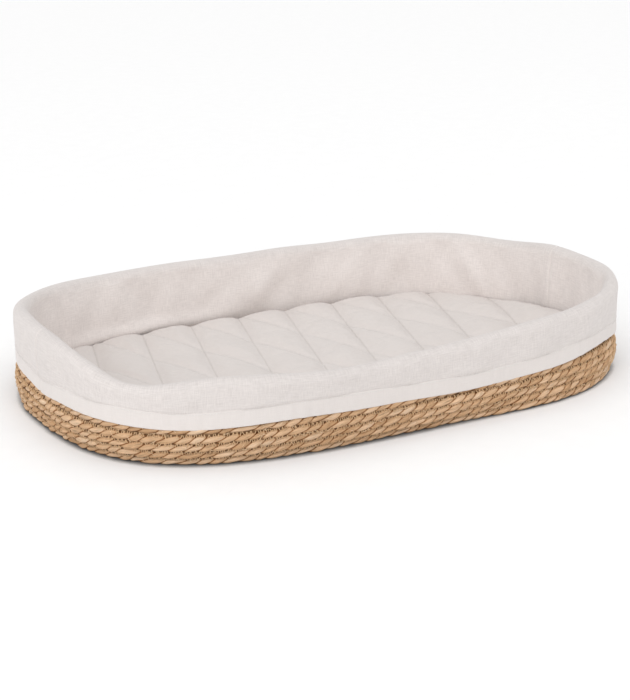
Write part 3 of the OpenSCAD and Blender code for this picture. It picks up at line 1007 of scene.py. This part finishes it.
PAD_STEP = 0.0045
PAD_POWER_X = 4.2
PAD_POWER_Y = 3.4
BACK_GAP = 0.016  # how much the pad falls short of the back, as a share of its half width
SLACK_DEPTH = 0.80  # how deep the seams of the slacker family are, as a share of the others
END_RIDE = 0.020  # how far the pad's right-hand end rides up the end of the basket
END_RIDE_FROM = 0.74  # from this share of its half length
END_RIDE_FRONT = 0.72  # and in front of this share of its half width
SEWN_BELOW = 0.0095  # how far the seams are drawn down below the tops of the puffs
RISES_OVER = 0.052  # how far in from the edge the seams reach their full height
EDGE_ROUND = 0.004
TIGHT_ROUND = 0.010  # how far from a seam of each family the puff has mostly recovered
SLACK_ROUND = 0.0065
TIGHT_HELD = 0.0026  # the cloth is held this far from a seam while it is puffed
SLACK_HELD = 0.0024
UNDER_ROUND = 0.010
PUFF_FRAMES = 22
PUFF_GROWTH = 0.012  # how much the cloth grows as it is puffed, as a share
MOST_SINK = 0.004  # the furthest a point may sink or rise from the sewn sheet
MOST_PUFF = 0.006


def seam_gap(x, y):
    """How far a point is from the nearest seam of each of the two families, in metres."""
    cos = 1 / math.hypot(1, QUILT_LEAN)
    even = x - QUILT_STRETCH * np.maximum(x, 0) ** 2
    gaps = []
    for side in (1, -1):
        place = (even + side * QUILT_LEAN * (y - PAD_WIDTH) - QUILT_PHASE) / QUILT_PITCH
        gaps.append(np.abs(place - np.round(place)) * QUILT_PITCH * cos)
    return gaps


def pad_border(reach):
    """How far in from the pad's edge a point is, about, from the share of the way to the edge."""
    return (1 - reach) * (PAD_WIDTH + PAD_LENGTH) / 2


def pad_grid():
    """Points over the pad as (rows, columns), in rings that follow its outline so that the rim is clean."""
    columns = int(2 * PAD_LENGTH / PAD_STEP)
    rows = int(2 * PAD_WIDTH / PAD_STEP)
    s = np.linspace(-1, 1, columns)[None, :]
    t = np.linspace(-1, 1, rows)[:, None]
    reach = np.maximum(np.abs(s), np.abs(t))
    angle = np.arctan2(t, s)
    cos, sin = np.abs(np.cos(angle)) + 1e-9, np.abs(np.sin(angle)) + 1e-9
    low, high = np.zeros(angle.shape), np.full(angle.shape, 2.0)
    for _ in range(40):
        unit = (low + high) / 2
        outside = (unit * cos) ** PAD_POWER_X + (unit * sin) ** PAD_POWER_Y > 1
        high = np.where(outside, unit, high)
        low = np.where(outside, low, unit)
    edge_x = PAD_LENGTH * unit * np.cos(angle)
    edge_y = PAD_WIDTH * unit * np.sin(angle)
    edge_y = np.where(edge_y > 0, edge_y * (1 - BACK_GAP), edge_y)
    return edge_x * reach, edge_y * reach, reach


def pad_heights(x, y, reach):
    """The sewn sheet before it is puffed up, and which of its points are held."""
    slack_seam, tight_seam = seam_gap(x, y)
    border = pad_border(reach)
    seam_z = PAD_SEAM + (PAD_TOP - SEWN_BELOW - PAD_SEAM) * smooth(border / RISES_OVER)
    puff = 1 - np.exp(-np.minimum(tight_seam, border) / TIGHT_ROUND)
    puff = puff * (1 - SLACK_DEPTH * np.exp(-slack_seam / SLACK_ROUND))
    z = seam_z + SEWN_BELOW * puff * smooth(border / EDGE_ROUND)
    end = smooth((x / PAD_LENGTH - END_RIDE_FROM) / (1 - END_RIDE_FROM))
    z = z + END_RIDE * end * smooth(END_RIDE_FRONT - y / PAD_WIDTH)
    held = (np.minimum(tight_seam, border) < TIGHT_HELD) | (slack_seam < SLACK_HELD)
    return z, held


def settle(obj, held, frames):
    """Puff the sewn sheet up with the cloth simulation, and keep the shape that it comes to."""
    group = obj.vertex_groups.new(name="sewn")
    group.add(np.flatnonzero(held).tolist(), 1.0, "REPLACE")
    cloth = obj.modifiers.new("puff", "CLOTH")
    settings = cloth.settings
    settings.quality = 6
    settings.mass = 0.15
    settings.tension_stiffness = 12
    settings.compression_stiffness = 12
    settings.shear_stiffness = 4
    settings.bending_stiffness = 2.0
    settings.vertex_group_mass = "sewn"
    settings.use_pressure = True
    settings.uniform_pressure_force = 2.2
    settings.shrink_min = -PUFF_GROWTH
    settings.shrink_max = -PUFF_GROWTH
    settings.effector_weights.gravity = 0.0
    cloth.collision_settings.use_collision = False
    cloth.point_cache.frame_start = 1
    cloth.point_cache.frame_end = frames
    scene = bpy.context.scene
    for frame_number in range(1, frames + 1):
        scene.frame_set(frame_number)
    graph = bpy.context.evaluated_depsgraph_get()
    shaped = obj.evaluated_get(graph)
    points = np.empty(len(shaped.data.vertices) * 3, dtype=np.float32)
    shaped.data.vertices.foreach_get("co", points)
    obj.modifiers.remove(cloth)
    scene.frame_set(1)
    return points.reshape(-1, 3)


def add_pad():
    """The quilted pad: a puffed top and a plain underside, joined at the edge."""
    x, y, reach = pad_grid()
    z, held = pad_heights(x, y, reach)
    rows, columns = x.shape
    flat = np.stack([x, y, z], axis=-1).reshape(-1, 3)
    quads = grid_quads(rows, columns, False, False)[:, ::-1]
    top = flat
    trial = add_mesh("trial", flat, quads)
    top = settle(trial, held.ravel(), PUFF_FRAMES)
    bpy.data.objects.remove(trial)
    top[:, 2] = np.clip(top[:, 2], flat[:, 2] - MOST_SINK, flat[:, 2] + MOST_PUFF)
    rim = reach.ravel() > 0.9999
    top[rim] = flat[rim]
    under = flat.copy()
    under[:, 2] = PAD_SEAM - (PAD_SEAM - PAD_FOOT) * smooth(pad_border(reach.ravel()) / UNDER_ROUND) ** 0.5
    under[rim] = top[rim]
    keep = ~rim
    number = np.arange(len(top))
    under_number = np.where(rim, number, len(top) + np.cumsum(keep) - 1)
    verts = np.vstack([top, under[keep]])
    both = np.vstack([quads, under_number[quads][:, ::-1]])
    uv = np.stack([x.ravel(), y.ravel()], axis=1)
    uv = np.vstack([uv, uv[keep]])[both].reshape(-1, 2)
    obj = add_mesh("pad", verts, both, uv, material=QUILT_CLOTH)
    finer = obj.modifiers.new("finer", "SUBSURF")
    finer.levels = finer.render_levels = 1
    covers = ("mattress_top_cover", "mattress_bottom_cover", "mattress_wadding")
    finish_piece(obj, "mattress", "cotton_cover", *covers)
    return obj


QUILT_STITCH = 0.0042  # from one stitch of a quilted seam to the next
QUILT_STITCH_LONG = 0.0028
QUILT_THREAD_R = 0.00024
QUILT_THREAD_BOW = 0.0004
SEAMS_EACH_WAY = 12  # enough seams from the middle to cross the whole pad
ABOVE_PAD = 0.1
CLEAR_OF_EDGE = 0.001


def spread_out(point):
    """Where a point of the evenly spaced seams is on the pad, whose seams spread to the right."""
    x, y = point
    if x <= 0:
        return x, y
    return (1 - math.sqrt(max(0.0, 1 - 4 * QUILT_STRETCH * x))) / (2 * QUILT_STRETCH), y


def add_quilt_stitches(pad):
    """Running stitches along the pad's seams, laid on its upper surface."""
    graph = bpy.context.evaluated_depsgraph_get()
    surface = BVHTree.FromObject(pad, graph)
    starts, ends = [], []
    reach = PAD_WIDTH * math.hypot(1, QUILT_LEAN)
    along = np.arange(-reach, reach, QUILT_STITCH)
    for side in (1, -1):
        lean = np.array([-side * QUILT_LEAN, 1.0]) / math.hypot(1, QUILT_LEAN)
        for seam in range(-SEAMS_EACH_WAY, SEAMS_EACH_WAY + 1):
            base = np.array([QUILT_PHASE + seam * QUILT_PITCH, PAD_WIDTH])
            for step in along:
                first = base + lean * (step - reach)
                pair = [spread_out(point) for point in (first, first + lean * QUILT_STITCH_LONG)]
                hits = [surface.ray_cast(Vector((*point, ABOVE_PAD)), -Vector(UP))[0] for point in pair]
                if all(hit is not None and hit.z > PAD_SEAM + CLEAR_OF_EDGE for hit in hits):
                    starts.append(hits[0])
                    ends.append(hits[1])
    starts, ends = np.array(starts), np.array(ends)
    lift = np.broadcast_to(UP * QUILT_THREAD_BOW, starts.shape)
    obj = threads("quilt_stitches", starts, ends, lift, QUILT_THREAD_R, WHITE_THREAD)
    finish_piece(obj, "mattress", "white_thread", "mattress_quilting")


wall_threads()
stray_blades()
base_threads(BASE_GROOVES)
add_liner()
PAD = add_pad()
add_quilt_stitches(PAD)

# ---------------------------------------------------------------- camera, light and floor

CAMERA_TURN = math.radians(-30.78)  # round from straight in front
CAMERA_RISE = math.radians(18.90)  # above the horizon
CAMERA_ROLL = math.radians(0.24)
CAMERA_AWAY = 5.275 * RIM_LENGTH
LENS = 80.8
SHIFT = (-0.0130, 0.0317)


def add_camera():
    data = bpy.data.cameras.new("camera")
    data.lens = LENS
    data.sensor_width = 36
    data.shift_x, data.shift_y = SHIFT
    camera = bpy.data.objects.new("camera", data)
    flat = math.cos(CAMERA_RISE)
    back = Vector((math.sin(CAMERA_TURN) * flat, -math.cos(CAMERA_TURN) * flat, math.sin(CAMERA_RISE)))
    camera.location = back * CAMERA_AWAY
    turn = back.to_track_quat("Z", "Y")
    camera.rotation_euler = turn.to_euler()
    camera.rotation_euler.rotate_axis("Z", CAMERA_ROLL)
    bpy.context.scene.collection.objects.link(camera)
    bpy.context.scene.camera = camera


def add_light(name, kind, place, power):
    """A light at a place, turned towards the basket."""
    data = bpy.data.lights.new(name, kind)
    data.energy = power
    light = bpy.data.objects.new(name, data)
    light.location = place
    light.rotation_euler = Vector(place).to_track_quat("Z", "Y").to_euler()
    bpy.context.scene.collection.objects.link(light)
    return data


def add_soft_box(name, place, power):
    data = add_light(name, "AREA", place, power)
    data.shape = "RECTANGLE"
    data.size, data.size_y = SOFT_BOX


def add_key_light():
    """A light from far away with very soft shadows."""
    add_light("key", "SUN", (-0.6, -0.9, 1.1), 0.95).angle = math.radians(60)


FLOOR_HALF = 60.0  # large enough for its edge not to show in a low view
# The painted shadow by which the floor darkens at the basket's foot: how far out, how open the floor is
# there, and the shade.
FOOT_PAINTED_SHADOWS = (
    (0.012, 0.80, (0.30, 0.30, 0.30)),
    (0.090, 0.95, (0.91, 0.935, 0.965)),
)
SKY_STRENGTH = 0.80
SOFT_BOX = (1.6, 1.4)


def add_floor():
    s = Shader("floor")
    grain = s.noise(s.place((30, 30, 30)), detail=2)
    colour = s.ramp(grain, (0.3, 0.975), (0.7, 0.99))
    # painted shadow from ambient occlusion round the basket's foot
    for reach, open_share, shade in FOOT_PAINTED_SHADOWS:
        nearby = s.node("ShaderNodeAmbientOcclusion", Distance=reach)
        colour = s.shade(1.0, colour, s.ramp(nearby.outputs["AO"], (0.35, shade), (open_share, 1.0)))
    s.finish(colour, None, 0.6, specular=0.3)
    verts = FLOOR_HALF * np.array([[-1, -1, 0], [1, -1, 0], [1, 1, 0], [-1, 1, 0]])
    floor = add_mesh("floor", verts, np.array([[0, 1, 2, 3]]), material=s.material)


def add_world():
    """Even light from all round, and a plain white backdrop where the camera sees past the floor."""
    world = bpy.data.worlds.new("studio")
    world.use_nodes = True
    nodes, join = world.node_tree.nodes, world.node_tree.links.new
    sky, backdrop = nodes["Background"], nodes.new("ShaderNodeBackground")
    seen = nodes.new("ShaderNodeLightPath")
    either = nodes.new("ShaderNodeMixShader")
    join(seen.outputs["Is Camera Ray"], either.inputs["Fac"])
    for index, (light, strength) in enumerate(((sky, SKY_STRENGTH), (backdrop, 1.0))):
        light.inputs["Color"].default_value = (1.0, 1.0, 1.0, 1)
        light.inputs["Strength"].default_value = strength
        join(light.outputs["Background"], either.inputs[1 + index])
    join(either.outputs["Shader"], nodes["World Output"].inputs["Surface"])
    bpy.context.scene.world = world


add_camera()
add_floor()
add_world()
add_key_light()
add_soft_box("left", (-2.8, -0.6, 1.2), 9)
add_soft_box("right", (2.8, -0.8, 1.4), 3)
bpy.context.scene.view_settings.view_transform = "Standard"
